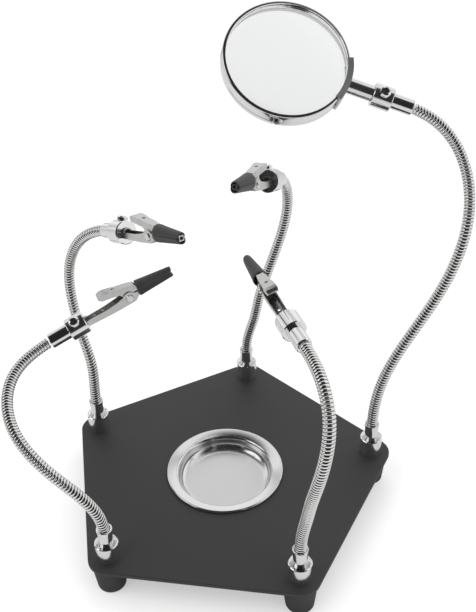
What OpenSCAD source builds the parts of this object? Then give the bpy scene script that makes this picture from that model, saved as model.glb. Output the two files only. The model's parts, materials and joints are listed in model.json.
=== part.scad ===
// Helping hands clamp: a pentagon base with four clip arms, a magnifier arm and a parts dish.
// Origin: centre of the base on the bench. +Z is up and +Y points at the rear arm.

/* [Base] */
// Distance from the plate's centre to each straight edge
plate_apothem = 77.3; // [76:0.1:84]
// Thickness of the steel plate
plate_t = 2.5; // [2:0.5:4]
// Distance from a socket's centre to the nearest plate edges, and the corner radius
edge_gap = 10.5; // [9:0.5:12]
// Height of a rubber foot
foot_h = 17.5; // [16:0.5:22]
// Radius of a foot where it meets the plate
foot_r = 9; // [7.5:0.1:9]

/* [Sockets] */
// Outer radius of an arm socket
socket_r = 6; // [5.6:0.1:7]
// Height of an arm socket above the plate
socket_h = 11; // [10:0.5:13]
// Height of the ferrule's top above the plate
ferrule_top = 20.5; // [19:0.5:24]

/* [Dish] */
// Outer radius of the dish's rim
dish_r = 32; // [30:0.5:34]
// Depth of the dish's floor below the plate's top
dish_depth = 7; // [5:0.5:9]

/* [Arms] */
// Free length of a clip arm's neck
clip_neck_len = 130; // [122:1:138]
// Free length of the magnifier arm's neck
magnifier_neck_len = 196; // [188:1:204]
// Outer radius of the neck tube
neck_r = 2.9; // [2.8:0.05:3]
// Length of the sleeve that grips the neck's end
sleeve_len = 11.9; // [10:0.1:13]
// Length of the collar that holds the clip
collar_len = 10; // [9:0.5:11]
// Outer radius of the collar
collar_r = 6; // [5.8:0.1:6.5]

/* [Magnifier] */
// Outer radius of the lens rim
rim_r = 31.75; // [30:0.25:34]
// Width of the lens rim along the lens axis
rim_w = 9; // [8:0.5:10]
// Length of the handle between collar and rim
handle_len = 12; // [11:0.5:18]

/* [Hidden] */
$fn = 48;

// Each arm: compass angle of its socket, turn of the set screw, turn of the clip or lens about
// the holder's axis, free length of the neck, and the neck's bends from the socket up.
// A bend is its angle and the compass direction it leans in.
front_left = [-126, -22, -57, clip_neck_len,
    [[32, -175], [18, 164], [21, 120], [15, 83], [24, 84], [20, 68], [32, 54], [31, 28]]];
rear_left = [162, 131, 149, clip_neck_len,
    [[7, 61], [27, 153], [13, 93], [15, -46], [27, -39], [23, -23], [26, -27], [20, -72]]];
rear = [90, 101, 82, clip_neck_len,
    [[21, -1], [13, 175], [11, 30], [1, 3], [3, -128], [8, 176], [27, -123], [47, -99]]];
front_right = [-54, 70, -92, clip_neck_len,
    [[13, -27], [15, -110], [8, 52], [15, 88], [22, 106], [32, 123], [35, 107], [7, 169]]];
magnifier = [18, -72, -66, magnifier_neck_len,
    [[10, 21], [12, 8], [16, 53], [2, -135], [11, -142], [11, 137], [25, 117], [18, 173],
     [35, -147], [28, 162]]];

gap = 0.05;                              // clearance of a close fit
ring_r = (plate_apothem - edge_gap) / cos(36);
plate_top = foot_h + plate_t;
compass_angles = [90, 18, -54, -126, 162];

screw_r = 2;
screw_grip = 4.6;                        // screw length inside the socket's floor
socket_floor = 5;
ferrule_r = 3.7;
ferrule_bore_r = neck_r + 0.22;

bead_r = neck_r + 0.15;                  // bead at each bend of the neck
ball_r = neck_r - 0.1;                   // ball of a neck pivot
pivot_gap = 1.1;                         // each side stops this far from a pivot's centre

sleeve_r = 4;
tail_r = 2.5;                            // clip tail or handle spigot in the collar
tail_len = 8.5;
holder_len = sleeve_len + collar_len;
set_screw_r = 1.5;

sheet_t = 0.6;                           // sheet metal of the clip
rivet_z = 25.3;                          // rivet's distance from the collar
rivet_r = 1.25;
jaw_half_w = 3;                          // half width of the fixed jaw's ears
lever_half_w = jaw_half_w - sheet_t - gap;
nose_z = 31;                             // where the jaws' noses and their boots begin
nose_len = 20;
nose_rise = 1.5;                         // parting line's height at nose_z
nose_tilt = atan(nose_rise / nose_len);
boot_rear_r = 4.4;
boot_tip_r = 2.8;
boot_wall = 0.75;

lens_r = rim_r - 1.5;
lens_edge_t = 2;
lens_bulge = 2.2;
saddle_angle = 44;
saddle_t = 1;
lens_z = holder_len + handle_len + saddle_t + rim_r + 0.3;

function arc_points(cx, cy, r, from, to, steps) =
    [for (i = [0:steps]) let (a = from + (to - from) * i / steps) [cx + r * cos(a), cy + r * sin(a)]];

// ---- places ----

module at_each_corner() {
    for (a = compass_angles)
        rotate([0, 0, a])
            translate([ring_r, 0, 0])
                children();
}

module at_ferrule_top(arm) {
    translate([ring_r * cos(arm[0]), ring_r * sin(arm[0]), plate_top + ferrule_top])
        children();
}

function bend_len(arm) = arm[3] / len(arm[4]);
function bend_radius(arm, i) = bend_len(arm) * 180 / (PI * arm[4][i][0]);

// Moves to the end of one bend
module after_bend(arm, i) {
    bend = arm[4][i][0];
    lean = arm[4][i][1];
    r = bend_radius(arm, i);
    rotate([0, 0, lean])
        translate([r * (1 - cos(bend)), 0, r * sin(bend)])
            rotate([0, bend, 0])
                rotate([0, 0, -lean])
                    children();
}

module after_bends(arm, last, i = 0) {
    if (i < last)
        after_bend(arm, i) after_bends(arm, last, i + 1) children();
    else
        children();
}

module at_mid(arm) {
    at_ferrule_top(arm) after_bends(arm, len(arm[4]) / 2) children();
}

module at_neck_end(arm) {
    at_ferrule_top(arm) after_bends(arm, len(arm[4])) children();
}

// The clip's frame: z along the clip from the collar's face, y towards the lever
module at_clip(arm) {
    at_neck_end(arm) rotate([0, 0, arm[2] - 90]) translate([0, 0, holder_len]) children();
}

// The lens's frame: z along the lens axis
module at_lens(arm) {
    at_neck_end(arm) rotate([0, 0, arm[2]]) translate([0, 0, lens_z]) rotate([0, 90, 0]) children();
}

// ---- base ----

module base_plate() {
    outline = [for (a = compass_angles)
        each arc_points(ring_r * cos(a), ring_r * sin(a), edge_gap, a + 36, a - 36, 12)];
    color("#3c3c3e")
        difference() {
            translate([0, 0, foot_h])
                linear_extrude(plate_t)
                    polygon(outline);
            translate([0, 0, foot_h - 1])
                cylinder(r = dish_r - 4, h = plate_t + 2, $fn = 96);
            at_each_corner()
                translate([0, 0, foot_h - 1])
                    cylinder(r = screw_r + gap, h = plate_t + 2);
        }
}

module rubber_foot() {
    tip_r = foot_r - 1.7;
    round_r = 1.2;
    outline = concat(
        [[0, foot_h], [0, 0]],
        arc_points(tip_r - round_r, round_r, round_r, -90, 0, 6),
        [[foot_r, foot_h]]);
    difference() {
        rotate_extrude()
            polygon(outline);
        translate([0, 0, -1])
            cylinder(r = screw_r + gap, h = foot_h + 2);
        translate([0, 0, -1])
            cylinder(r = 4, h = 10);
    }
}

module rubber_feet() {
    color("#222222")
        at_each_corner()
            rubber_foot();
}

module foot_screws() {
    head_z = 9;
    color("silver")
        at_each_corner()
            difference() {
                union() {
                    translate([0, 0, head_z - 2.6])
                        cylinder(r = 3.9, h = 2.6);
                    translate([0, 0, head_z - 0.5])
                        cylinder(r = screw_r, h = plate_top + screw_grip - head_z + 0.5);
                }
                translate([0, 0, head_z - 3])
                    cylinder(r = 1.7, h = 2, $fn = 6);
            }
}

module arm_sockets() {
    chamfer_r = socket_r - 0.6;
    bore_r = ferrule_r + gap;
    outline = [
        [screw_r + gap, 0], [socket_r, 0], [socket_r, socket_h - 0.4], [socket_r - 0.4, socket_h],
        [chamfer_r, socket_h], [bore_r, socket_h - 1.5], [bore_r, socket_floor],
        [screw_r + gap, socket_floor]];
    color("#c8c8c8")
        at_each_corner()
            translate([0, 0, plate_top])
                rotate_extrude()
                    polygon(outline);
}

module parts_dish() {
    t = 0.7;
    floor_r = 19;
    wall_r = dish_r - 6.6;
    bend_r = 5;
    bead = 0.8;
    fillet_z = bend_r - dish_depth;
    inner = concat(
        [[0, -dish_depth]],
        arc_points(wall_r - bend_r, fillet_z, bend_r, -90, 0, 8),
        [[wall_r + 0.4, -0.4], [wall_r + 1.6, 0.8 + t / 2]]);
    rolled_edge = arc_points(dish_r - bead, bead + gap, bead, 100, -170, 16);
    outer = concat(
        [[wall_r + 1.9, 0.8 - t / 2], [wall_r + 1.1, -0.6]],
        arc_points(wall_r - bend_r, fillet_z, bend_r + t, 0, -90, 8),
        [[0, -dish_depth - t]]);
    color("#d8d8d8")
        translate([0, 0, plate_top])
            rotate_extrude($fn = 96)
                polygon(concat(inner, rolled_edge, outer));
}

// ---- necks ----

module ferrule(arm) {
    length = ferrule_top - socket_floor - 0.1;
    bore_depth = 9;
    outline = [
        [0, -length], [ferrule_r - 0.3, -length], [ferrule_r, 0.3 - length], [ferrule_r, -1.4],
        [ferrule_r + 0.3, -1.1], [ferrule_r + 0.3, 0], [ferrule_bore_r, 0],
        [ferrule_bore_r, -bore_depth], [0, -bore_depth]];
    color("#cfcfcf")
        at_ferrule_top(arm)
            rotate_extrude()
                polygon(outline);
}

// One bend drawn as two straight links with a bead where they meet
module bend_links(arm, i) {
    bend = arm[4][i][0];
    lean = arm[4][i][1];
    r = bend_radius(arm, i);
    link = 2 * r * sin(bend / 4);
    rotate([0, 0, lean]) {
        rotate([0, bend / 4, 0])
            cylinder(r = neck_r, h = link);
        translate([r * (1 - cos(bend / 2)), 0, r * sin(bend / 2)]) {
            sphere(bead_r);
            rotate([0, bend * 3 / 4, 0])
                cylinder(r = neck_r, h = link);
        }
    }
}

// Links and beads from bend `first` up to, not including, bend `last`
module neck_links(arm, first, last) {
    for (i = [first:last - 1])
        at_ferrule_top(arm)
            after_bends(arm, i) {
                bend_links(arm, i);
                if (i > first)
                    sphere(bead_r);
            }
}

module neck_lower(arm) {
    stub = 8.5;
    color("#b9b9b9") {
        difference() {
            union() {
                neck_links(arm, 0, len(arm[4]) / 2);
                at_ferrule_top(arm) {
                    sphere(bead_r);
                    translate([0, 0, -stub])
                        cylinder(r = neck_r, h = stub);
                }
            }
            at_mid(arm)
                translate([0, 0, -pivot_gap])
                    cylinder(r = 5, h = 4);
        }
        at_mid(arm)
            pivot_ball();
    }
}

module neck_upper(arm) {
    color("#b9b9b9") {
        difference() {
            neck_links(arm, len(arm[4]) / 2, len(arm[4]));
            at_mid(arm) {
                translate([0, 0, pivot_gap - 4])
                    cylinder(r = 5, h = 4);
                sphere(ball_r + 0.1);
            }
            at_neck_end(arm)
                translate([0, 0, -pivot_gap])
                    cylinder(r = 5, h = 4);
        }
        at_neck_end(arm)
            pivot_ball();
    }
}

module pivot_ball() {
    sphere(ball_r);
    translate([0, 0, -2 * pivot_gap])
        cylinder(r = ball_r - 0.6, h = 2 * pivot_gap);
}

// ---- holders ----

module holder(arm) {
    mouth = 0.9;
    edge = 0.4;
    outline = [
        [0, mouth], [sleeve_r - edge, mouth], [sleeve_r, mouth + edge], [sleeve_r, sleeve_len],
        [collar_r - edge, sleeve_len], [collar_r, sleeve_len + edge],
        [collar_r, holder_len - edge], [collar_r - edge, holder_len], [0, holder_len]];
    color("#c4c4c4")
        at_neck_end(arm)
            difference() {
                rotate_extrude()
                    polygon(outline);
                sphere(ball_r + 0.1);
                translate([0, 0, holder_len - tail_len - 0.2])
                    cylinder(r = tail_r + gap, h = tail_len + 1);
                at_set_screw(arm)
                    cylinder(r = set_screw_r + gap, h = collar_r + 1);
            }
}

module at_set_screw(arm) {
    rotate([0, 0, arm[1]])
        translate([0, 0, sleeve_len + collar_len / 2])
            rotate([0, 90, 0])
                children();
}

module set_screw(arm) {
    head_r = 2.8;
    head_h = 2.2;
    seat = collar_r + gap;
    slot_w = 0.8;
    slot_len = 3.4;
    outline = [
        [0, tail_r + 0.1], [set_screw_r, tail_r + 0.1], [set_screw_r, seat], [head_r, seat],
        [head_r, seat + head_h * 0.55], [head_r - 0.5, seat + head_h * 0.85],
        [head_r - 1.2, seat + head_h], [0, seat + head_h]];
    color("#d4d4d4")
        at_neck_end(arm)
            at_set_screw(arm)
                difference() {
                    rotate_extrude()
                        polygon(outline);
                    for (turn = [0, 90])
                        rotate([0, 0, turn + 20])
                            translate([-slot_len / 2, -slot_w / 2, seat + head_h - 1.1])
                                cube([slot_len, slot_w, 2]);
                }
}

// ---- clip ----

// Extrudes a side outline, given as [z, y] points, across the clip's width
module side_slab(outline, half_w) {
    translate([half_w, 0, 0])
        rotate([0, -90, 0])
            linear_extrude(2 * half_w)
                polygon(outline);
}

// Extrudes a top outline, given as [z, half width] points, through the clip's height
module plan_slab(outline, inset) {
    right = [for (p = outline) [p[1] - inset, p[0]]];
    left = [for (i = [len(outline) - 1:-1:0]) [inset - outline[i][1], outline[i][0]]];
    translate([0, 15, 0])
        rotate([90, 0, 0])
            linear_extrude(30)
                polygon(concat(right, left));
}

module at_nose() {
    translate([0, nose_rise, nose_z])
        rotate([nose_tilt, 0, 0])
            children();
}

module nose_teeth() {
    at_nose()
        for (i = [0:5])
            translate([0, 0, 5.5 + 2.4 * i])
                rotate([45, 0, 0])
                    cube([10, 0.9, 0.9], center = true);
}

// The same outline, run past both of its ends
function past_ends(outline) =
    concat(
        [[outline[0][0] - 3, outline[0][1]]],
        outline,
        [[outline[len(outline) - 1][0] + 3, outline[len(outline) - 1][1]]]);

module rivet_hole() {
    translate([-10, 0, rivet_z])
        rotate([0, 90, 0])
            cylinder(r = rivet_r + gap, h = 20);
}

module fixed_jaw(arm) {
    plan = [[0.3, 2.5], [6, 2.7], [14, jaw_half_w], [27.5, jaw_half_w], [30.7, 2.2], [50.2, 1.4]];
    bottom = [[0.3, -2.4], [18, -3.1], [27.5, -3.1], [30.7, -1.3], [50.2, -1.3]];
    top = concat(
        [[50.2, -0.15], [29.2, 1.2]],
        arc_points(rivet_z, 0, 3.6, 35, 145, 8),
        [[19, 1.1], [12, 0.5], [0.3, 0.7]]);
    hollow = concat([for (p = past_ends(bottom)) [p[0], p[1] + sheet_t]], [[53.2, 12], [-2.7, 12]]);
    color("#d0d0d0")
        at_clip(arm)
            difference() {
                union() {
                    difference() {
                        intersection() {
                            side_slab(concat(bottom, top), 6);
                            plan_slab(plan, 0);
                        }
                        intersection() {
                            side_slab(hollow, 6);
                            plan_slab(past_ends(plan), sheet_t);
                        }
                    }
                    translate([0, 0, -tail_len])
                        cylinder(r = tail_r, h = tail_len + 1.5);
                }
                translate([0, 0, -tail_len - 1])
                    cylinder(r = tail_r - sheet_t, h = tail_len + 4);
                rivet_hole();
                for (z = [5, 10])
                    translate([0, -3, z])
                        rotate([90, 0, 0])
                            cylinder(r = 0.8, h = 4, center = true);
                nose_teeth();
            }
}

module lever_jaw(arm) {
    plan = [[9, 2.2], [12, 2.9], [18, 2.9], [21, lever_half_w], [27, lever_half_w], [29.2, 1.88],
        [50.2, 1.3]];
    top = [[50.2, 1.45], [31, 4.15], [30.4, 5.6], [14.5, 9.7], [12.5, 9.7], [11, 8.9]];
    bottom = concat(
        [[10.9, 8], [12.5, 6.6], [17.5, 5.6], [21.5, 4.2]],
        arc_points(rivet_z, 0, 2.3, 145, 325, 8),
        [[29.2, 1.6], [50.2, 0.15]]);
    hollow = [[53.2, 0.85], [50.2, 0.85], [31, 3.55], [30, 5], [14.5, 9.1], [12.5, 9.1],
        [11.6, 8.4], [8, -8], [53.2, -8]];
    color("#d6d6d6")
        at_clip(arm)
            difference() {
                intersection() {
                    side_slab(concat(top, bottom), 6);
                    plan_slab(plan, 0);
                }
                intersection() {
                    side_slab(hollow, 6);
                    plan_slab(past_ends(plan), sheet_t);
                }
                rivet_hole();
                translate([0, 8, 20])
                    rotate([90, 0, 0])
                        cylinder(r = 0.9, h = 8, center = true);
                nose_teeth();
            }
}

module rivet(arm) {
    head_r = 2;
    head_t = 0.5;
    outer = jaw_half_w + gap;
    outline = [
        [0, -outer - head_t], [head_r - 0.3, -outer - head_t], [head_r, -outer],
        [rivet_r, -outer], [rivet_r, outer], [head_r, outer], [head_r - 0.3, outer + head_t],
        [0.7, outer + head_t], [0.5, outer - 0.4], [0, outer - 0.4]];
    color("#c0c0c0")
        at_clip(arm)
            translate([0, 0, rivet_z])
                rotate([0, 90, 0])
                    rotate_extrude()
                        polygon(outline);
}

module spring(arm) {
    wire_r = 0.3;
    coil_r = rivet_r + gap + wire_r + 0.05;
    half_w = 1.4;
    color("#9a9a9a")
        at_clip(arm)
            translate([0, 0, rivet_z]) {
                rotate([0, 90, 0])
                    difference() {
                        cylinder(r = coil_r + wire_r, h = 2 * half_w, center = true);
                        cylinder(r = coil_r - wire_r, h = 2 * half_w + 1, center = true);
                    }
                translate([wire_r - half_w, -coil_r, 0])
                    rotate([177, 0, 0])
                        cylinder(r = wire_r, h = 8.5);
                translate([half_w - wire_r, coil_r, 0])
                    rotate([194, 0, 0])
                        cylinder(r = wire_r, h = 5);
            }
}

module boot(arm, side) {
    inner_rear_r = boot_rear_r - boot_wall;
    inner_tip_r = boot_tip_r - boot_wall + 0.1;
    color("#2a2a2a")
        at_clip(arm)
            at_nose()
                intersection() {
                    difference() {
                        cylinder(r1 = boot_rear_r, r2 = boot_tip_r, h = nose_len);
                        translate([0, 0, -0.01])
                            cylinder(r1 = inner_rear_r, r2 = inner_tip_r, h = nose_len + 0.02);
                    }
                    translate([-10, side > 0 ? gap : -10 - gap, -1])
                        cube([20, 10, nose_len + 2]);
                }
}

// ---- magnifier ----

module magnifier_handle() {
    tube_r = 4.1;
    saddle_r = rim_r + 0.1 + saddle_t + 0.03;
    color("#c4c4c4")
        difference() {
            at_neck_end(magnifier) {
                translate([0, 0, holder_len + 0.1])
                    cylinder(r = tube_r, h = handle_len + 1);
                translate([0, 0, holder_len - tail_len])
                    cylinder(r = tail_r, h = tail_len + 1);
            }
            at_lens(magnifier)
                cylinder(r = saddle_r, h = 2 * rim_w, center = true, $fn = 96);
        }
}

module magnifier_saddle() {
    inner = rim_r + 0.1;
    half_w = rim_w / 2;
    outline = [
        [inner - 2, half_w + 0.1], [inner - 2, half_w + 0.9], [inner + saddle_t, half_w + 0.9],
        [inner + saddle_t, -half_w - 0.9], [inner - 2, -half_w - 0.9], [inner - 2, -half_w - 0.1],
        [inner, -half_w - 0.1], [inner, half_w + 0.1]];
    color("#c4c4c4")
        at_lens(magnifier)
            rotate([0, 0, -saddle_angle / 2])
                rotate_extrude(angle = saddle_angle, $fn = 96)
                    polygon(outline);
}

module magnifier_rim() {
    lip = 1.7;
    half_w = rim_w / 2;
    groove = lens_edge_t / 2 + gap;
    outline = [
        [rim_r, -half_w + 0.4], [rim_r, half_w - 0.4], [rim_r - 0.4, half_w], [rim_r - lip, half_w],
        [rim_r - lip, half_w - 1], [rim_r - 0.8, half_w - 1], [rim_r - 0.8, half_w - 1.6],
        [rim_r - lip, half_w - 1.6], [rim_r - lip, groove], [lens_r + gap, groove],
        [lens_r + gap, -groove], [rim_r - lip, -groove], [rim_r - lip, -half_w],
        [rim_r - 0.4, -half_w]];
    color("#bdbdbd")
        at_lens(magnifier)
            rotate_extrude($fn = 96)
                polygon(outline);
}

module magnifier_lens() {
    bulge_r = (lens_r * lens_r + lens_bulge * lens_bulge) / (2 * lens_bulge);
    steps = 10;
    function bulge(r) = sqrt(bulge_r * bulge_r - r * r) - bulge_r + lens_bulge + lens_edge_t / 2;
    upper = [for (i = [0:steps]) let (r = lens_r * i / steps) [r, bulge(r)]];
    lower = [for (i = [steps:-1:0]) let (r = lens_r * i / steps) [r, -bulge(r)]];
    color("#dfe8ea", 0.4)
        at_lens(magnifier)
            rotate_extrude($fn = 96)
                polygon(concat(lower, upper));
}

base_plate();
rubber_feet();
foot_screws();
arm_sockets();
parts_dish();
ferrule(front_left);  // front_left_ferrule
neck_lower(front_left);  // front_left_neck_lower
neck_upper(front_left);  // front_left_neck_upper
holder(front_left);  // front_left_holder
set_screw(front_left);  // front_left_set_screw
fixed_jaw(front_left);  // front_left_fixed_jaw
lever_jaw(front_left);  // front_left_lever_jaw
rivet(front_left);  // front_left_rivet
spring(front_left);  // front_left_spring
boot(front_left, -1);  // front_left_lower_boot
boot(front_left, 1);  // front_left_upper_boot
ferrule(rear_left);  // rear_left_ferrule
neck_lower(rear_left);  // rear_left_neck_lower
neck_upper(rear_left);  // rear_left_neck_upper
holder(rear_left);  // rear_left_holder
set_screw(rear_left);  // rear_left_set_screw
fixed_jaw(rear_left);  // rear_left_fixed_jaw
lever_jaw(rear_left);  // rear_left_lever_jaw
rivet(rear_left);  // rear_left_rivet
spring(rear_left);  // rear_left_spring
boot(rear_left, -1);  // rear_left_lower_boot
boot(rear_left, 1);  // rear_left_upper_boot
ferrule(rear);  // rear_ferrule
neck_lower(rear);  // rear_neck_lower
neck_upper(rear);  // rear_neck_upper
holder(rear);  // rear_holder
set_screw(rear);  // rear_set_screw
fixed_jaw(rear);  // rear_fixed_jaw
lever_jaw(rear);  // rear_lever_jaw
rivet(rear);  // rear_rivet
spring(rear);  // rear_spring
boot(rear, -1);  // rear_lower_boot
boot(rear, 1);  // rear_upper_boot
ferrule(front_right);  // front_right_ferrule
neck_lower(front_right);  // front_right_neck_lower
neck_upper(front_right);  // front_right_neck_upper
holder(front_right);  // front_right_holder
set_screw(front_right);  // front_right_set_screw
fixed_jaw(front_right);  // front_right_fixed_jaw
lever_jaw(front_right);  // front_right_lever_jaw
rivet(front_right);  // front_right_rivet
spring(front_right);  // front_right_spring
boot(front_right, -1);  // front_right_lower_boot
boot(front_right, 1);  // front_right_upper_boot
ferrule(magnifier);  // magnifier_ferrule
neck_lower(magnifier);  // magnifier_neck_lower
neck_upper(magnifier);  // magnifier_neck_upper
holder(magnifier);  // magnifier_holder
set_screw(magnifier);  // magnifier_set_screw
magnifier_handle();
magnifier_saddle();
magnifier_rim();
magnifier_lens();
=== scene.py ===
import json
import math

import bmesh
import bpy
from mathutils import Matrix, Vector
from mathutils.bvhtree import BVHTree


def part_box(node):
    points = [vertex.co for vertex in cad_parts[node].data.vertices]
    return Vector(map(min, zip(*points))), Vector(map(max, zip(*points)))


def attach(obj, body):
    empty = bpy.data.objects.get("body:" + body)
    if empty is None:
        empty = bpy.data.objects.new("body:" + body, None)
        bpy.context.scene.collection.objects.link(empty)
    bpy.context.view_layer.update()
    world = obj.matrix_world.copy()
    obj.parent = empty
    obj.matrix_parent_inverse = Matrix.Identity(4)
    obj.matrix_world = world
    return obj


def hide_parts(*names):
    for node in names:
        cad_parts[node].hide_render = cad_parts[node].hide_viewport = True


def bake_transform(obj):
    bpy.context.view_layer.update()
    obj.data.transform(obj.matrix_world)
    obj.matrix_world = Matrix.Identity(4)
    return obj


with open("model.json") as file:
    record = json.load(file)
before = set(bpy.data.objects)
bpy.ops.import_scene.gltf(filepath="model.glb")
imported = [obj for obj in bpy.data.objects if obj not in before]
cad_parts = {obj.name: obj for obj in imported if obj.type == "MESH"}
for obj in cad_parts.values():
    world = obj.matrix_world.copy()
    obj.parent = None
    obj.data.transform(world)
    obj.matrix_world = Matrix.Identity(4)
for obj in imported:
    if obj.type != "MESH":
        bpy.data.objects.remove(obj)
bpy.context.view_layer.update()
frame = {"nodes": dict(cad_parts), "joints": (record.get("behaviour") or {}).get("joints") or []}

MM = 0.001
RIVET_Z = 25.3  # the rivet's distance from the collar, in mm
NOSE_Z = 31  # where the jaws' noses and their boots begin
NECK_R = 3.0  # over the ribs
DISH_HOLE_R = 28
SHEET = 0.7  # the dish's sheet steel

JOINTS = {j["name"]: j for j in frame["joints"]}
CLIP_ARMS = ["front_left", "rear_left", "rear", "front_right"]
ARMS = CLIP_ARMS + ["magnifier"]

# ---------------------------------------------------------------- materials


class Nodes:
    """A small helper that builds one node material."""

    def __init__(self, name):
        self.mat = bpy.data.materials.new(name)
        self.mat.use_nodes = True
        self.tree = self.mat.node_tree
        self.bsdf = self.tree.nodes["Principled BSDF"]
        self.out = self.tree.nodes["Material Output"]
        self.place = self.add("ShaderNodeTexCoord").outputs["Object"]

    def add(self, kind, **values):
        node = self.tree.nodes.new(kind)
        for key, value in values.items():
            setattr(node, key, value)
        return node

    def join(self, a, b):
        self.tree.links.new(a, b)

    def noise(self, scale, detail=4.0, rough=0.55, stretch=None):
        tex = self.add("ShaderNodeTexNoise")
        tex.inputs["Scale"].default_value = scale
        tex.inputs["Detail"].default_value = detail
        tex.inputs["Roughness"].default_value = rough
        place = self.place
        if stretch:
            mapping = self.add("ShaderNodeMapping")
            mapping.inputs["Scale"].default_value = stretch
            self.join(place, mapping.inputs["Vector"])
            place = mapping.outputs["Vector"]
        self.join(place, tex.inputs["Vector"])
        return tex.outputs["Fac"]

    def span(self, fac, low, high, start=0.0, end=1.0):
        node = self.add("ShaderNodeMapRange")
        node.inputs["From Min"].default_value = start
        node.inputs["From Max"].default_value = end
        node.inputs["To Min"].default_value = low
        node.inputs["To Max"].default_value = high
        self.join(fac, node.inputs["Value"])
        return node.outputs["Result"]

    def tint(self, fac, low, high):
        node = self.add("ShaderNodeMix", data_type="RGBA")
        node.inputs["A"].default_value = (*low, 1)
        node.inputs["B"].default_value = (*high, 1)
        self.join(fac, node.inputs["Factor"])
        return node.outputs["Result"]

    def bump(self, height, strength, distance=0.0001, base=None):
        node = self.add("ShaderNodeBump")
        node.inputs["Strength"].default_value = strength
        node.inputs["Distance"].default_value = distance
        self.join(height, node.inputs["Height"])
        if base:
            self.join(base, node.inputs["Normal"])
        return node.outputs["Normal"]

    def edges(self, low=0.5, high=0.56):
        """1 on worn edges, 0 on flats."""
        return self.span(self.add("ShaderNodeNewGeometry").outputs["Pointiness"], 0, 1, low, high)

    def set(self, **sockets):
        for key, value in sockets.items():
            socket = self.bsdf.inputs[key.replace("_", " ")]
            if hasattr(value, "links"):
                self.join(value, socket)
            else:
                socket.default_value = value
        return self


def metal(name, low, high, rough_low, rough_high, scratch=0.12, grain=900, stretch=None):
    """Metal with smudges, fine scratches and duller edges."""
    m = Nodes(name)
    smudge = m.noise(55, 3)
    fine = m.noise(grain, 2, 0.7, stretch)
    wear = m.edges(0.52, 0.62)
    rough = m.add("ShaderNodeMath", operation="ADD")
    m.join(m.span(smudge, rough_low, rough_high, 0.3, 0.7), rough.inputs[0])
    m.join(m.span(wear, 0, 0.08), rough.inputs[1])
    m.set(Base_Color=m.tint(smudge, low, high), Metallic=1.0, Roughness=rough.outputs[0],
          Normal=m.bump(fine, scratch, 0.00005))
    return m.mat


def wound_steel():
    """Bright ribs with painted shade in the grooves; the mesh's "rib" value is 1 on a rib and 0 in a groove.
    """
    m = Nodes("gooseneck_steel")
    rib = m.add("ShaderNodeAttribute", attribute_name="rib").outputs["Fac"]
    smudge = m.noise(70, 3)
    # painted shade: the base colour falls to near black in the grooves between the ribs, standing in for
    # their shadow
    painted_groove_shade = m.tint(m.span(rib, 0, 1, 0.35, 0.85), (0.05, 0.05, 0.05), (0.90, 0.90, 0.89))
    m.set(Base_Color=painted_groove_shade, Metallic=1.0, Roughness=m.span(smudge, 0.08, 0.18, 0.3, 0.7),
          Normal=m.bump(m.noise(900, 2), 0.08, 0.00005))
    return m.mat


def powder_coat():
    """Matte black coating with a fine grain."""
    m = Nodes("powder_coat")
    grain = m.noise(2600, 3, 0.6)
    cloud = m.noise(22, 3)
    m.set(Base_Color=m.tint(cloud, (0.020, 0.020, 0.0215), (0.026, 0.026, 0.0275)),
          Roughness=m.span(cloud, 0.50, 0.60, 0.3, 0.7), Specular_IOR_Level=0.45,
          Normal=m.bump(grain, 0.30, 0.00006))
    return m.mat


def rubber(name, low, high, rough, grain_scale=1800):
    """Black rubber, a little dusty on its edges."""
    m = Nodes(name)
    grain = m.noise(grain_scale, 3, 0.6)
    cloud = m.noise(90, 4)
    dust = m.edges(0.5, 0.6)
    mix = m.add("ShaderNodeMath", operation="ADD", use_clamp=True)
    m.join(m.span(cloud, 0, 0.7, 0.3, 0.7), mix.inputs[0])
    m.join(m.span(dust, 0, 0.3), mix.inputs[1])
    m.set(Base_Color=m.tint(mix.outputs[0], low, high), Roughness=m.span(cloud, rough - 0.05, rough + 0.07),
          Specular_IOR_Level=0.5, Normal=m.bump(grain, 0.25, 0.00008))
    return m.mat


def dish_steel(floor_r):
    """Polished wall and a satin floor, with fine turned rings."""
    m = Nodes("dish_steel")
    radius = m.add("ShaderNodeVectorMath", operation="LENGTH")
    flat = m.add("ShaderNodeVectorMath", operation="MULTIPLY")
    flat.inputs[1].default_value = (1, 1, 0)
    m.join(m.place, flat.inputs[0])
    m.join(flat.outputs["Vector"], radius.inputs[0])
    r = radius.outputs["Value"]
    on_wall = m.span(r, 0, 1, floor_r - 0.0015, floor_r + 0.001)
    turned = m.add("ShaderNodeTexNoise", noise_dimensions="1D")
    turned.inputs["Scale"].default_value = 2600
    turned.inputs["Detail"].default_value = 3
    m.join(r, turned.inputs["W"])
    rough = m.add("ShaderNodeMath", operation="ADD")
    m.join(m.span(on_wall, 0.30, 0.15), rough.inputs[0])
    m.join(m.span(m.noise(70, 3), -0.02, 0.03, 0.3, 0.7), rough.inputs[1])
    m.set(Base_Color=m.tint(m.noise(40, 3), (0.74, 0.74, 0.74), (0.82, 0.82, 0.815)), Metallic=1.0,
          Roughness=rough.outputs[0], Normal=m.bump(turned.outputs["Fac"], 0.10, 0.00004))
    return m.mat


def lens_glass():
    """Clear glass that lets light through in shadows."""
    m = Nodes("lens_glass")
    m.set(Base_Color=(0.80, 0.805, 0.805, 1), Roughness=m.span(m.noise(60, 2), 0.0, 0.012),
          IOR=1.5, Transmission_Weight=1.0)
    clear = m.add("ShaderNodeBsdfTransparent")
    clear.inputs["Color"].default_value = (0.9, 0.91, 0.91, 1)
    mix = m.add("ShaderNodeMixShader")
    m.join(m.add("ShaderNodeLightPath").outputs["Is Shadow Ray"], mix.inputs["Fac"])
    m.join(m.bsdf.outputs["BSDF"], mix.inputs[1])
    m.join(clear.outputs["BSDF"], mix.inputs[2])
    m.join(mix.outputs["Shader"], m.out.inputs["Surface"])
    return m.mat


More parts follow.
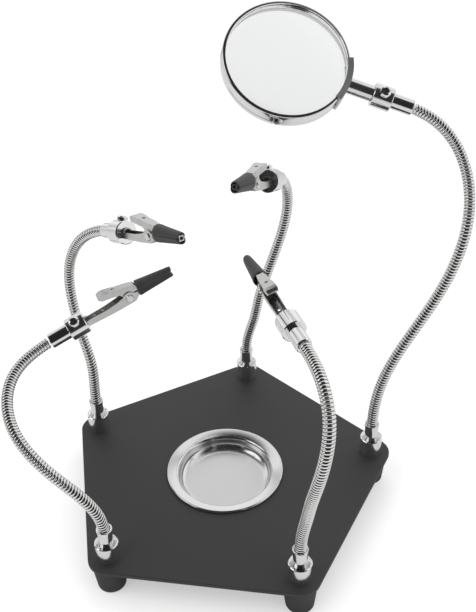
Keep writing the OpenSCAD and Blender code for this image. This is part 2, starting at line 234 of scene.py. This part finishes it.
CHROME = metal("chrome", (0.80, 0.80, 0.80), (0.90, 0.90, 0.90), 0.05, 0.12, 0.06)
SCREW_STEEL = metal("screw_steel", (0.70, 0.70, 0.69), (0.84, 0.84, 0.83), 0.10, 0.20, 0.10)
NECK_STEEL = wound_steel()
CLIP_STEEL = metal("clip_steel", (0.52, 0.52, 0.515), (0.66, 0.66, 0.65), 0.16, 0.30, 0.16, 500, (1, 1, 5))
RIVET_STEEL = metal("rivet_steel", (0.66, 0.66, 0.65), (0.80, 0.80, 0.79), 0.12, 0.22, 0.10)
SPRING_STEEL = metal("spring_steel", (0.42, 0.42, 0.42), (0.56, 0.56, 0.55), 0.22, 0.34, 0.12)
COAT = powder_coat()
FOOT_RUBBER = rubber("foot_rubber", (0.016, 0.016, 0.016), (0.030, 0.030, 0.030), 0.62)
BOOT_RUBBER = rubber("boot_rubber", (0.020, 0.020, 0.021), (0.034, 0.034, 0.036), 0.46, 1400)
GLASS = lens_glass()

NODE_FINISH = {
    "foot_screws": SCREW_STEEL, "arm_sockets": CHROME, "ferrule": CHROME, "holder": CHROME,
    "set_screw": CHROME, "fixed_jaw": CLIP_STEEL, "lever_jaw": CLIP_STEEL, "rivet": RIVET_STEEL,
    "spring": SPRING_STEEL, "magnifier_handle": CHROME, "magnifier_saddle": CLIP_STEEL,
}
for node_name, node_obj in frame["nodes"].items():
    for key, finish in NODE_FINISH.items():
        if node_name.endswith(key):
            node_obj.data.materials.clear()
            node_obj.data.materials.append(finish)

# ---------------------------------------------------------------- mesh helpers


def piece(name, verts, faces, material, sharp=math.radians(38)):
    """A new object from vertices and faces, with its normals outwards and one material."""
    mesh = bpy.data.meshes.new(name)
    mesh.from_pydata([tuple(v) for v in verts], [], faces)
    mesh.validate()
    shell = bmesh.new()
    shell.from_mesh(mesh)
    bmesh.ops.recalc_face_normals(shell, faces=shell.faces)
    shell.to_mesh(mesh)
    shell.free()
    mesh.shade_smooth()
    mesh.set_sharp_from_angle(angle=sharp)
    mesh.materials.append(material)
    obj = bpy.data.objects.new(name, mesh)
    bpy.context.scene.collection.objects.link(obj)
    return obj


def grid_faces(rows, count, closed_rows=False):
    """Quads of `rows` loops of `count` points each."""
    faces = []
    for i in range(rows if closed_rows else rows - 1):
        a, b = i * count, (i + 1) % rows * count
        for j in range(count):
            k = (j + 1) % count
            faces.append((a + j, a + k, b + k, b + j))
    return faces


def lathe(outline, steps, place, closed=True):
    """Turns an outline of (radius, height) points about place's z; a radius of 0 gives one pole point."""
    verts, rings = [], []
    for r, z in outline:
        start = len(verts)
        count = steps if r > 0 else 1
        for j in range(count):
            a = 2 * math.pi * j / steps
            verts.append(place @ Vector((r * math.cos(a), r * math.sin(a), z)))
        rings.append([start + j % count for j in range(steps)])
    if closed:
        rings.append(rings[0])
    faces = []
    for a, b in zip(rings, rings[1:]):
        for j in range(steps):
            k = (j + 1) % steps
            faces.append(tuple(dict.fromkeys((a[j], a[k], b[k], b[j]))))
    return verts, faces


def arc(cx, cy, r, start, end, steps):
    """Points along an arc, with its angles in degrees."""
    out = []
    for i in range(steps + 1):
        a = math.radians(start + (end - start) * i / steps)
        out.append((cx + r * math.cos(a), cy + r * math.sin(a)))
    return out


def add_up(parts):
    """Joins several (verts, faces) shapes."""
    verts, faces = [], []
    for v, f in parts:
        faces += [tuple(i + len(verts) for i in face) for face in f]
        verts += v
    return verts, faces


# ---------------------------------------------------------------- base

socket_spots = [Vector(JOINTS[arm + "_swivel"]["pos_m"]) for arm in ARMS]
plate_lo, plate_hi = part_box("base_plate")
plate_top = plate_hi[2]
ring_r = math.hypot(socket_spots[0].x, socket_spots[0].y)
# the plate reaches furthest back at the rear corner's round
corner_r = plate_hi[1] - ring_r


def plate_loop(inset, z):
    """The plate's rounded pentagon at one height, drawn in by inset."""
    corners = []
    for corner in range(5):
        compass = 90 + 72 * corner
        c = math.radians(compass)
        corners.append(arc(ring_r * math.cos(c), ring_r * math.sin(c), corner_r - inset,
                           compass - 36, compass + 36, 15))
    loop = []
    for here, following in zip(corners, corners[1:] + corners[:1]):
        (x0, y0), (x1, y1) = here[-1], following[0]
        loop += here
        loop += [(x0 + (x1 - x0) * k / 24, y0 + (y1 - y0) * k / 24) for k in range(1, 24)]
    return [(x, y, z) for x, y in loop]


def hole_loop(radius, z):
    """A round loop whose points match the plate's outline one for one."""
    loop = []
    for x, y, _ in plate_loop(0, z):
        d = math.hypot(x, y)
        loop.append((x / d * radius, y / d * radius, z))
    return loop


def build_plate():
    """The plate with soft edges and the dish's hole."""
    bottom, top = plate_lo[2], plate_hi[2]
    soft = 0.55 * MM
    rings = []
    for x, y in arc(0, 0, soft, 90, 0, 5):
        rings.append(plate_loop(soft - x, top - soft + y))
    for x, y in arc(0, 0, soft, 0, -90, 5):
        rings.append(plate_loop(soft - x, bottom + soft + y))
    hole = DISH_HOLE_R * MM
    bevel = 0.3 * MM
    rings.append(hole_loop(hole + bevel, bottom))
    rings.append(hole_loop(hole, bottom + bevel))
    rings.append(hole_loop(hole, top - bevel))
    rings.append(hole_loop(hole + bevel, top))
    verts = [v for ring in rings for v in ring]
    faces = [tuple(reversed(f)) for f in grid_faces(len(rings), len(rings[0]), True)]
    obj = piece("plate_coated", verts, faces, COAT)
    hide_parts("base_plate")
    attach(obj, "base")


def build_feet():
    """Five tapered feet, each with a well for its screw's head."""
    top = plate_lo[2]
    foot_r = 9.0 * MM
    tip_r = 7.3 * MM
    rnd = 1.4 * MM
    well_r, well_h = 4.0 * MM, 9 * MM
    screw_r = 2.05 * MM
    outline = [(foot_r - 0.4 * MM, top), (foot_r, top - 0.4 * MM), (foot_r - 0.02 * MM, top - 1.6 * MM)]
    outline += arc(tip_r - rnd + 0.1 * MM, rnd, rnd, 0, -90, 6)
    outline += [(well_r + 0.3 * MM, 0), (well_r, 0.3 * MM), (well_r, well_h), (screw_r, well_h),
                (screw_r, top)]
    shapes = []
    for spot in socket_spots:
        shapes.append(lathe(outline, 64, Matrix.Translation((spot.x, spot.y, 0))))
    verts, faces = add_up(shapes)
    obj = piece("feet_rubber", verts, faces, FOOT_RUBBER)
    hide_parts("rubber_feet")
    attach(obj, "base")


def build_dish():
    """The dish's section, in mm: floor, wall, flange and rolled edge, then back along the underside."""
    lo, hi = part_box("parts_dish")
    rim = hi[0] / MM
    depth = (plate_top - lo[2]) / MM - SHEET
    wall = rim - 6.6
    fillet = 5.0
    section = [(0, -depth)]
    section += arc(wall - fillet, fillet - depth, fillet, -90, 0, 14)
    section += arc(wall + 2.0, -1.3, 1.9, 172, 106, 8)
    section += [(rim - 2.6, 1.35)]
    section += arc(rim - 0.8, 0.85, 0.8, 110, -150, 18)
    section += [(wall + 2.4, 0.2)]
    section += arc(wall + 2.0, -1.3, 1.2, 100, 172, 8)
    section += arc(wall - fillet, fillet - depth, fillet + SHEET, 0, -90, 14)
    section += [(0, -depth - SHEET)]
    outline = [(x * MM, y * MM) for x, y in section]
    verts, faces = lathe(outline, 160, Matrix.Translation((0, 0, plate_top)), False)
    obj = piece("dish_spun", verts, faces, dish_steel((wall - fillet + 2.2) * MM))
    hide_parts("parts_dish")
    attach(obj, "dish")


# ---------------------------------------------------------------- goosenecks


def neck_tree(arm):
    """A search tree over both halves of an arm's CAD neck."""
    verts, polys = [], []
    for part in ("_neck_lower", "_neck_upper"):
        mesh = frame["nodes"][arm + part].data
        start = len(verts)
        verts += [v.co.copy() for v in mesh.vertices]
        polys += [[start + i for i in p.vertices] for p in mesh.polygons]
    return BVHTree.FromPolygons(verts, polys)


def centre_of(tree, point, along):
    """Moves a point inside the tube to the middle of the tube's section."""
    side = along.orthogonal().normalized()
    other = along.cross(side)
    for _ in range(5):
        total, hits = Vector(), 0
        for k in range(16):
            a = 2 * math.pi * k / 16
            ray = side * math.cos(a) + other * math.sin(a)
            hit = tree.ray_cast(point, ray, 6 * MM)[0]
            if hit is not None:
                total += hit
                hits += 1
        if hits == 16:
            point = total / hits
    return point


def trace(arm):
    """The middle line of an arm's neck, from inside the ferrule to the sleeve."""
    tree = neck_tree(arm)
    end = Vector(JOINTS[arm + "_wrist"]["pos_m"])
    socket = Vector(JOINTS[arm + "_swivel"]["pos_m"])
    start_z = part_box(arm + "_neck_lower")[0][2] + 1.0 * MM
    point = Vector((socket.x, socket.y, start_z))
    along = Vector((0, 0, 1))
    line = [point]
    step = 0.8 * MM
    while (end - point).length > 1.2 * MM and len(line) < 400:
        point = centre_of(tree, point + along * step, along)
        back = line[-4] if len(line) > 4 else line[0]
        along = (point - back).normalized()
        line.append(point)
    line.append(end)
    for _ in range(40):
        line = [line[0]] + [(a + 2 * b + c) / 4 for a, b, c in zip(line, line[1:], line[2:])] + [line[-1]]
    return line


def resample(line, step):
    """Points and directions at even spacing along a line."""
    marks = [0.0]
    for a, b in zip(line, line[1:]):
        marks.append(marks[-1] + (b - a).length)
    count = int(round(marks[-1] / step))
    points, i = [], 0
    for k in range(count + 1):
        s = marks[-1] * k / count
        while i < len(marks) - 2 and marks[i + 1] < s:
            i += 1
        f = (s - marks[i]) / (marks[i + 1] - marks[i])
        points.append(line[i].lerp(line[i + 1], f))
    turns = []
    for k in range(count + 1):
        a, b = points[max(0, k - 2)], points[min(count, k + 2)]
        turns.append((b - a).normalized())
    return points, turns, marks[-1] / count


def rib_height(phase):
    """Section of one rib of the wound tube: a round wire between two valleys."""
    x = phase % 1.0
    return math.sqrt(max(0.0, 1 - (2 * x - 1) ** 2))


def build_neck(arm):
    """The ribbed neck in four pieces: two ride on one body each, and two span the bend and the wrist and are
    baked in place.
    """
    pitch = 1.62 * MM
    rings_per_rib = 9
    around = 28
    crest = NECK_R * MM
    valley = 0.62 * MM
    line = trace(arm)
    points, turns, step = resample(line, pitch / rings_per_rib)
    pivot = Vector(JOINTS[arm + "_bend"]["pos_m"])
    middle = min(range(len(points)), key=lambda k: (points[k] - pivot).length)
    side = turns[0].orthogonal().normalized()
    rings, ribs = [], []
    for k, (p, t) in enumerate(zip(points, turns)):
        side = (side - t * side.dot(t)).normalized()
        other = t.cross(side)
        ring = []
        for j in range(around):
            a = 2 * math.pi * j / around
            high = rib_height(k / rings_per_rib - j / around)
            ribs.append(high)
            ring.append(p + (side * math.cos(a) + other * math.sin(a)) * (crest - valley + valley * high))
        rings.append(ring)
    reach = int(13 * MM / step)
    tail = int(9 * MM / step)
    last = len(points) - 1
    lower, upper, holder = arm + "_arm_lower", arm + "_arm_upper", arm + "_arm_holder"
    spans = [("root", 0, middle - reach, lower, None),
             ("middle", middle - reach, middle + reach, lower, upper),
             ("run", middle + reach, last - tail, upper, None),
             ("tip", last - tail, last, upper, holder)]
    for label, first, stop, body, other_body in spans:
        used = rings[first:stop + 1]
        verts = [v for ring in used for v in ring]
        faces = grid_faces(len(used), around)
        if label == "root":
            faces.append(tuple(reversed(range(around))))
        if label == "tip":
            n = len(verts)
            faces.append(tuple(range(n - around, n)))
        obj = piece(f"{arm}_neck_{label}", verts, faces, NECK_STEEL, math.radians(60))
        # the rib height, which the gooseneck material turns into painted shade in the grooves
        shade = obj.data.attributes.new("rib", "FLOAT", "POINT")
        shade.data.foreach_set("value", ribs[first * around:(stop + 1) * around])
        if label in ("root", "middle"):
            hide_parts(arm + "_neck_lower")
        else:
            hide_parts(arm + "_neck_upper")
        if other_body is None:
            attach(obj, body)
        else:
            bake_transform(obj)


# ---------------------------------------------------------------- clip boots


def clip_frame(arm):
    """The clip's own frame: z from the collar along the clip, y towards the lever."""
    jaw = JOINTS[arm + "_jaw"]
    z = Vector(JOINTS[arm + "_roll"]["axis"]).normalized()
    x = -Vector(jaw["axis"]).normalized()
    y = z.cross(x)
    origin = Vector(jaw["pos_m"]) - z * RIVET_Z * MM
    place = Matrix.Identity(4)
    for i, axis in enumerate((x, y, z, origin)):
        for j in range(3):
            place[j][i] = axis[j]
    return place


def build_boot(arm, side):
    """One half of the boot: a half cone shell with soft edges."""
    rise, length = 1.5, 20.0
    tilt = math.atan(rise / length)
    place = clip_frame(arm) @ Matrix.Translation((0, rise * MM, NOSE_Z * MM)) @ Matrix.Rotation(tilt, 4, "X")
    # distance along the boot, and how far its skin stands off a plain cone
    stations = [(0.0, -0.25), (0.12, -0.08), (0.35, 0.0), (1.6, 0.06), (3.0, 0.02), (6, 0.0), (10, 0.0),
                (14, 0.0), (17, 0.02), (19, 0.0), (19.6, -0.06), (19.9, -0.18), (20.0, -0.32)]
    rear_r, tip_r, wall = 4.4, 2.8, 0.75
    edge = 0.16
    loops = []
    for z, swell in stations:
        cone = rear_r + (tip_r - rear_r) * z / length
        outer = cone + swell
        inner = max(0.4, cone - wall - min(swell, 0) * 0.8)
        loop = []
        for i in range(25):
            a = math.radians(2.5 + 175 * i / 24)
            loop.append((outer * math.cos(a), outer * math.sin(a)))
        loop.append((-outer + edge, 0.0))
        loop.append((-inner - edge, 0.0))
        for i in range(25):
            a = math.radians(177.5 - 175 * i / 24)
            loop.append((inner * math.cos(a), inner * math.sin(a)))
        loop.append((inner + edge, 0.0))
        loop.append((outer - edge, 0.0))
        narrow = 0.90 - 0.08 * z / length
        # the tips gape a little at the parting line
        gape = 1.5 * max(0.0, (z - 14) / 6) ** 2
        ring = []
        for x, y in loop:
            back = gape * (1 - y / outer) ** 2
            ring.append(place @ Vector((x * narrow * MM, side * (y + 0.06) * MM, (z - back) * MM)))
        loops.append(ring)
    count = len(loops[0])
    verts = [v for loop in loops for v in loop]
    faces = grid_faces(len(loops), count)
    half = 26

    def cap(base):
        out = []
        for i in range(half):
            j = count - 3 - i
            out.append((base + i, base + i + 1, base + j, base + j + 1))
        out.append((base + count - 2, base + count - 1, base))
        return out

    first, final = cap(0), cap(len(verts) - count)
    faces += [tuple(reversed(f)) for f in first] + final
    if side < 0:
        faces = [tuple(reversed(f)) for f in faces]
    label = "upper" if side > 0 else "lower"
    obj = piece(f"{arm}_boot_{label}", verts, faces, BOOT_RUBBER)
    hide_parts(f"{arm}_{label}_boot")
    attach(obj, f"{arm}_lever" if side > 0 else f"{arm}_clip")


# ---------------------------------------------------------------- magnifier


def lens_frame():
    """The lens's frame: z along the lens axis, from the CAD lens's own points."""
    lo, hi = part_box("magnifier_rim")
    centre = (Vector(lo) + Vector(hi)) / 2
    points = [v.co - centre for v in frame["nodes"]["magnifier_rim"].data.vertices]
    total = Matrix(((0, 0, 0), (0, 0, 0), (0, 0, 0)))
    for p in points:
        for i in range(3):
            for j in range(3):
                total[i][j] += p[i] * p[j]
    z = Vector((0.2, -0.45, 0.85)).normalized()
    inverse = total.inverted()
    for _ in range(60):
        z = (inverse @ z).normalized()
    x = Vector(JOINTS["magnifier_roll"]["axis"])
    x = (x - z * x.dot(z)).normalized()
    y = z.cross(x)
    place = Matrix.Identity(4)
    for i, axis in enumerate((x, y, z, centre)):
        for j in range(3):
            place[j][i] = axis[j]
    return place


def build_rim_and_lens():
    """The turned rim with its groove, and the biconvex lens in it."""
    place = lens_frame()
    rim = 31.75
    half = 4.5
    outline = [(rim - 1.7, -half + 0.15), (rim - 1.55, -half)]
    outline += arc(rim - 0.8, -half + 0.8, 0.8, -90, 0, 8)
    outline += [(rim, -1.6), (rim - 0.12, -1.5), (rim - 0.12, 1.5), (rim, 1.6)]
    outline += arc(rim - 0.8, half - 0.8, 0.8, 0, 90, 8)
    outline += [(rim - 1.55, half), (rim - 1.7, half - 0.15), (rim - 1.7, half - 0.9),
                (rim - 0.85, half - 1.0), (rim - 0.85, half - 1.6), (rim - 1.7, half - 1.7),
                (rim - 1.7, 1.05), (rim - 1.45, 1.05), (rim - 1.45, -1.05), (rim - 1.8, -1.05)]
    outline = [(r * MM, z * MM) for r, z in reversed(outline)]
    verts, faces = lathe(outline, 192, place)
    obj = piece("magnifier_rim_turned", verts, faces, CHROME)
    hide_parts("magnifier_rim")
    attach(obj, "magnifier_head")

    edge, bulge = rim - 1.5, 2.2
    ball = (edge ** 2 + bulge ** 2) / (2 * bulge)
    surface = []
    for i in range(25):
        r = edge * i / 24
        surface.append((r, math.sqrt(ball ** 2 - r ** 2) - ball + bulge + 1))
    outline = surface + [(r, -z) for r, z in reversed(surface)]
    outline = [(r * MM, z * MM) for r, z in outline]
    verts, faces = lathe(outline, 128, place, False)
    obj = piece("magnifier_lens_ground", verts, faces, GLASS)
    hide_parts("magnifier_lens")
    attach(obj, "magnifier_head")


build_plate()
build_feet()
build_dish()
for arm_name in ARMS:
    build_neck(arm_name)
for arm_name in CLIP_ARMS:
    build_boot(arm_name, 1)
    build_boot(arm_name, -1)
build_rim_and_lens()

# ---------------------------------------------------------------- stage


def stage_floor():
    floor_mat = Nodes("floor_pale")
    plain = floor_mat.tint(floor_mat.noise(3, 2), (0.50, 0.50, 0.50), (0.52, 0.52, 0.52))
    # the floor looks greyer in mirrors than in sight, so that polished metal keeps an outline against it
    path = floor_mat.add("ShaderNodeLightPath")
    mirrored = floor_mat.add("ShaderNodeMath", operation="SUBTRACT", use_clamp=True)
    floor_mat.join(path.outputs["Is Glossy Ray"], mirrored.inputs[0])
    floor_mat.join(path.outputs["Is Transmission Ray"], mirrored.inputs[1])
    glow = floor_mat.span(mirrored.outputs[0], 0.42, 0.05)
    floor_mat.set(Base_Color=plain, Roughness=floor_mat.span(floor_mat.noise(40, 2), 0.75, 0.85),
                  Specular_IOR_Level=0.2, Emission_Color=(1, 1, 1, 1), Emission_Strength=glow)
    mesh = bpy.data.meshes.new("floor")
    size, low = 6.0, -0.0002
    corners = [(-size, -size, low), (size, -size, low), (size, size, low), (-size, size, low)]
    mesh.from_pydata(corners, [], [(0, 1, 2, 3)])
    mesh.materials.append(floor_mat.mat)
    floor = bpy.data.objects.new("floor", mesh)
    bpy.context.scene.collection.objects.link(floor)


def surroundings():
    """White for plain sight; shiny parts see a dark room behind the viewer and bright walls elsewhere."""
    world = bpy.data.worlds.new("studio")
    bpy.context.scene.world = world
    world.use_nodes = True
    tree = world.node_tree
    tree.nodes.clear()
    coord = tree.nodes.new("ShaderNodeTexCoord")
    # how far a direction points towards the viewer's side sets how bright it is
    towards = tree.nodes.new("ShaderNodeVectorMath")
    towards.operation = "DOT_PRODUCT"
    towards.inputs[1].default_value = Vector((-0.28, -0.78, 0.56)).normalized()
    tree.links.new(coord.outputs["Generated"], towards.inputs[0])
    ramp = tree.nodes.new("ShaderNodeValToRGB")
    bands = [(0.0, 1.0), (0.34, 0.95), (0.44, 0.55), (0.50, 1.0), (0.60, 0.85), (0.67, 0.25),
             (0.72, 0.03), (0.92, 0.02), (1.0, 0.02)]
    elements = ramp.color_ramp.elements
    while len(elements) < len(bands):
        elements.new(0.5)
    for element, (at, grey) in zip(elements, bands):
        element.position = at
        element.color = (grey, grey, grey, 1)
    facing = tree.nodes.new("ShaderNodeMapRange")
    facing.inputs["From Min"].default_value = -1
    tree.links.new(towards.outputs["Value"], facing.inputs["Value"])
    tree.links.new(facing.outputs["Result"], ramp.inputs["Fac"])
    # a bright panel to the upper left
    panel = tree.nodes.new("ShaderNodeVectorMath")
    panel.operation = "DOT_PRODUCT"
    panel.inputs[1].default_value = Vector((-0.75, -0.25, 0.6)).normalized()
    tree.links.new(coord.outputs["Generated"], panel.inputs[0])
    glow = tree.nodes.new("ShaderNodeMapRange")
    glow.inputs["From Min"].default_value = 0.93
    glow.inputs["From Max"].default_value = 0.96
    tree.links.new(panel.outputs["Value"], glow.inputs["Value"])
    shiny = tree.nodes.new("ShaderNodeMix")
    shiny.data_type = "RGBA"
    shiny.inputs["B"].default_value = (1.3, 1.3, 1.3, 1)
    tree.links.new(glow.outputs["Result"], shiny.inputs["Factor"])
    tree.links.new(ramp.outputs["Color"], shiny.inputs["A"])
    path = tree.nodes.new("ShaderNodeLightPath")
    pick = tree.nodes.new("ShaderNodeMix")
    pick.data_type = "RGBA"
    pick.inputs["A"].default_value = (1, 1, 1, 1)
    mirrored = tree.nodes.new("ShaderNodeMath")
    mirrored.operation = "SUBTRACT"
    mirrored.use_clamp = True
    tree.links.new(path.outputs["Is Glossy Ray"], mirrored.inputs[0])
    tree.links.new(path.outputs["Is Transmission Ray"], mirrored.inputs[1])
    tree.links.new(mirrored.outputs["Value"], pick.inputs["Factor"])
    tree.links.new(shiny.outputs["Result"], pick.inputs["B"])
    background = tree.nodes.new("ShaderNodeBackground")
    background.inputs["Strength"].default_value = 1.0
    tree.links.new(pick.outputs["Result"], background.inputs["Color"])
    output = tree.nodes.new("ShaderNodeOutputWorld")
    tree.links.new(background.outputs["Background"], output.inputs["Surface"])


def soft_lights():
    for name, place, aim, size, power in (
            ("key", (-0.7, -0.5, 1.2), (0, 0, 0.1), 0.9, 5),
            ("fill", (0.9, -0.3, 0.9), (0, 0, 0.1), 0.8, 2.5),
            ("top", (0.1, 0.5, 1.4), (0, 0, 0.1), 1.0, 5)):
        data = bpy.data.lights.new(name, "AREA")
        data.shape = "RECTANGLE"
        data.size, data.size_y = size, size * 0.6
        data.energy = power
        lamp = bpy.data.objects.new(name, data)
        lamp.location = place
        lamp.rotation_mode = "QUATERNION"
        lamp.rotation_quaternion = (Vector(aim) - Vector(place)).to_track_quat("-Z", "Y")
        lamp.visible_glossy = False
        lamp.visible_transmission = False
        bpy.context.scene.collection.objects.link(lamp)


def viewpoint():
    az, el, roll = math.radians(10.073), math.radians(35.77), math.radians(-2.05)
    right = Vector((math.cos(az), math.sin(az), 0))
    back = Vector((math.sin(az) * math.cos(el), -math.cos(az) * math.cos(el), math.sin(el)))
    up = back.cross(right)
    across = right * math.cos(roll) + up * math.sin(roll)
    upward = up * math.cos(roll) - right * math.sin(roll)
    data = bpy.data.cameras.new("camera")
    data.lens = 57.04
    data.sensor_width = 36
    data.clip_start, data.clip_end = 0.01, 50
    camera = bpy.data.objects.new("camera", data)
    where = Vector((0.07706, -0.37427, 0.40665))
    place = Matrix.Identity(4)
    for i, axis in enumerate((across, upward, back, where)):
        for j in range(3):
            place[j][i] = axis[j]
    camera.matrix_world = place
    bpy.context.scene.collection.objects.link(camera)
    bpy.context.scene.camera = camera
    bpy.context.scene.view_settings.view_transform = "Standard"


stage_floor()
surroundings()
soft_lights()
viewpoint()
